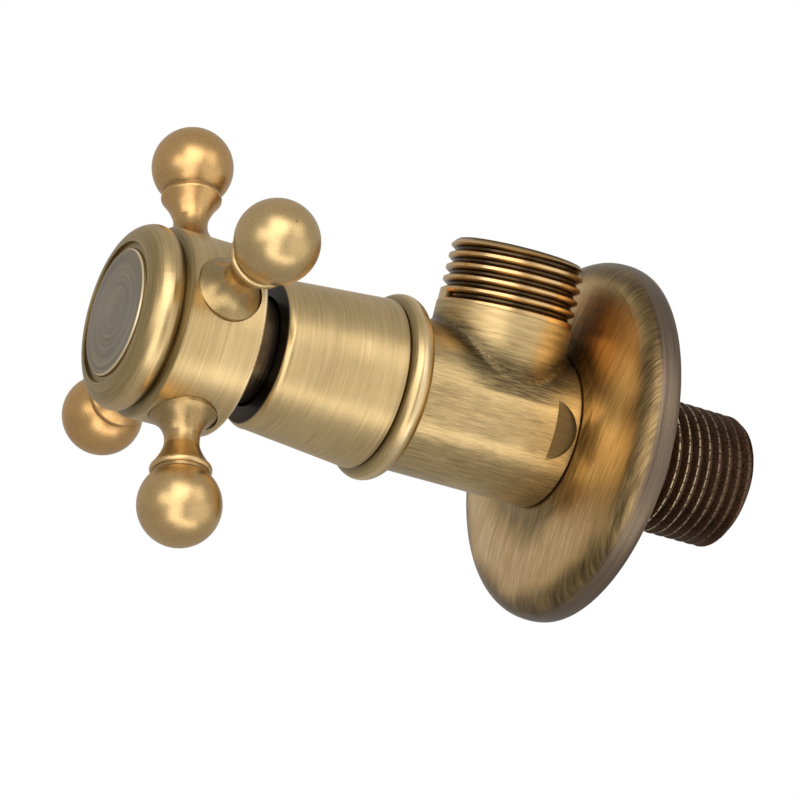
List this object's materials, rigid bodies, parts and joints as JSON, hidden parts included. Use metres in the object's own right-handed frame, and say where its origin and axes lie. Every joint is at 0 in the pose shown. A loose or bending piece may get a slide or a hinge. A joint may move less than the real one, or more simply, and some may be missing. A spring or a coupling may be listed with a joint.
{
  "type": "angle stop valve",
  "caption": "Antique brass angle stop valve: cross handle with ball-ended arms, bonnet sleeve, threaded outlet boss, wall flange and threaded inlet nipple; the handle turns a ceramic cartridge.",
  "frame": {"origin": "centre of the wall plane (back face of the wall flange) on the inlet axis", "axes": "+Y along the inlet nipple into the wall, +Z along the outlet boss (up), handle towards -Y"},
  "size_m": [0.062, 0.1042, 0.062],
  "materials": {
    "antique_brass_body": "brushed along the barrel, dark patina in the corners",
    "antique_brass_flange": "brushed, olive and brown patina",
    "antique_brass_turned": "brushed around the axis",
    "antique_brass_cast": "satin, warm",
    "aged_brass_disc": "concentric turned rings",
    "plain_brass": "machined",
    "dark_brass": "darkened",
    "black_rubber": "matte",
    "white_ceramic": "lapped alumina ceramic",
    "steel": "plain",
    "white_plastic": "smooth"
  },
  "bodies": {
    "valve": {"valve_body": "antique_brass_body", "bonnet_sleeve": "antique_brass_turned", "cartridge_housing": "plain_brass", "housing_o_ring": "black_rubber", "seat_gasket": "black_rubber", "fixed_disc": "white_ceramic", "thrust_washer": "white_plastic"},
    "escutcheon": {"escutcheon": "antique_brass_flange"},
    "handle": {"handle_hub": "antique_brass_turned", "stem_shroud": "dark_brass", "handle_arm_1": "antique_brass_cast", "handle_arm_2": "antique_brass_cast", "handle_arm_3": "antique_brass_cast", "handle_arm_4": "antique_brass_cast", "index_button": "aged_brass_disc", "button_o_ring": "black_rubber", "handle_screw": "steel", "spring_washer": "steel", "spindle": "dark_brass", "spindle_clip": "steel", "spindle_o_ring_lower": "black_rubber", "spindle_o_ring_upper": "black_rubber", "rotating_disc": "white_ceramic"}
  },
  "joints": [
    {"name": "handle_turn", "type": "hinge", "parent": "valve", "child": "handle", "pos_m": [0, -0.0672, 0], "axis": [0, -1, 0], "range_deg": [0, 90]},
    {"name": "escutcheon_slide", "type": "slide", "parent": "valve", "child": "escutcheon", "axis": [0, 1, 0], "range_m": [0, 0.018]}
  ]
}
